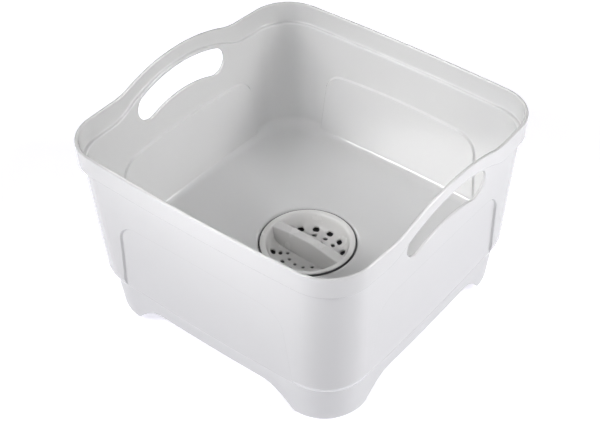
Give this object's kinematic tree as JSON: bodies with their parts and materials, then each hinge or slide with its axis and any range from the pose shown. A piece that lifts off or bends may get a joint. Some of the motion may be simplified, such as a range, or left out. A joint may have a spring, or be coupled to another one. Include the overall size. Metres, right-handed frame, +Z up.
{
  "type": "washing-up bowl",
  "caption": "Square plastic washing-up bowl with raised cut-out handles, a footed base ring and a lift-out twist-to-drain strainer in the floor.",
  "frame": {"origin": "centre of the footprint, on the plane that the foot pads stand on", "axes": "+Z up; the two raised handles are on the -X and +X walls; -Y and +Y are the plain walls"},
  "size_m": [0.3104, 0.31, 0.209],
  "materials": {
    "bowl_plastic": "light grey injection-moulded polypropylene, smooth satin gloss",
    "base_plastic": "light grey polypropylene, satin",
    "strainer_plastic": "light grey polypropylene, smooth",
    "valve_plastic": "mid grey acetal, fine matt",
    "seal_rubber": "dark grey silicone",
    "pad_rubber": "grey non-slip elastomer",
    "screw_steel": "stainless steel"
  },
  "bodies": {
    "bowl": {"basin": "bowl_plastic", "base_skirt": "base_plastic", "base_screws": "screw_steel", "foot_pad_back_left": "pad_rubber", "foot_pad_back_right": "pad_rubber", "foot_pad_front_left": "pad_rubber", "foot_pad_front_right": "pad_rubber"},
    "drain_seat": {"seat_plate": "valve_plastic", "seat_o_ring": "seal_rubber", "seat_gasket": "seal_rubber"},
    "strainer": {"strainer_cup": "strainer_plastic", "rim_seal": "seal_rubber", "valve_disc": "valve_plastic", "pivot_screw": "screw_steel", "spring_washer": "screw_steel", "pivot_washer": "screw_steel"}
  },
  "joints": [
    {"name": "plug_lift", "type": "slide", "parent": "bowl", "child": "drain_seat", "axis": [0, 0, 1], "range_m": [0, 0.19]},
    {"name": "plug_turn", "type": "hinge", "parent": "drain_seat", "child": "strainer", "pos_m": [0, 0, 0.045], "axis": [0, 0, 1], "range_deg": [0, 90]}
  ]
}
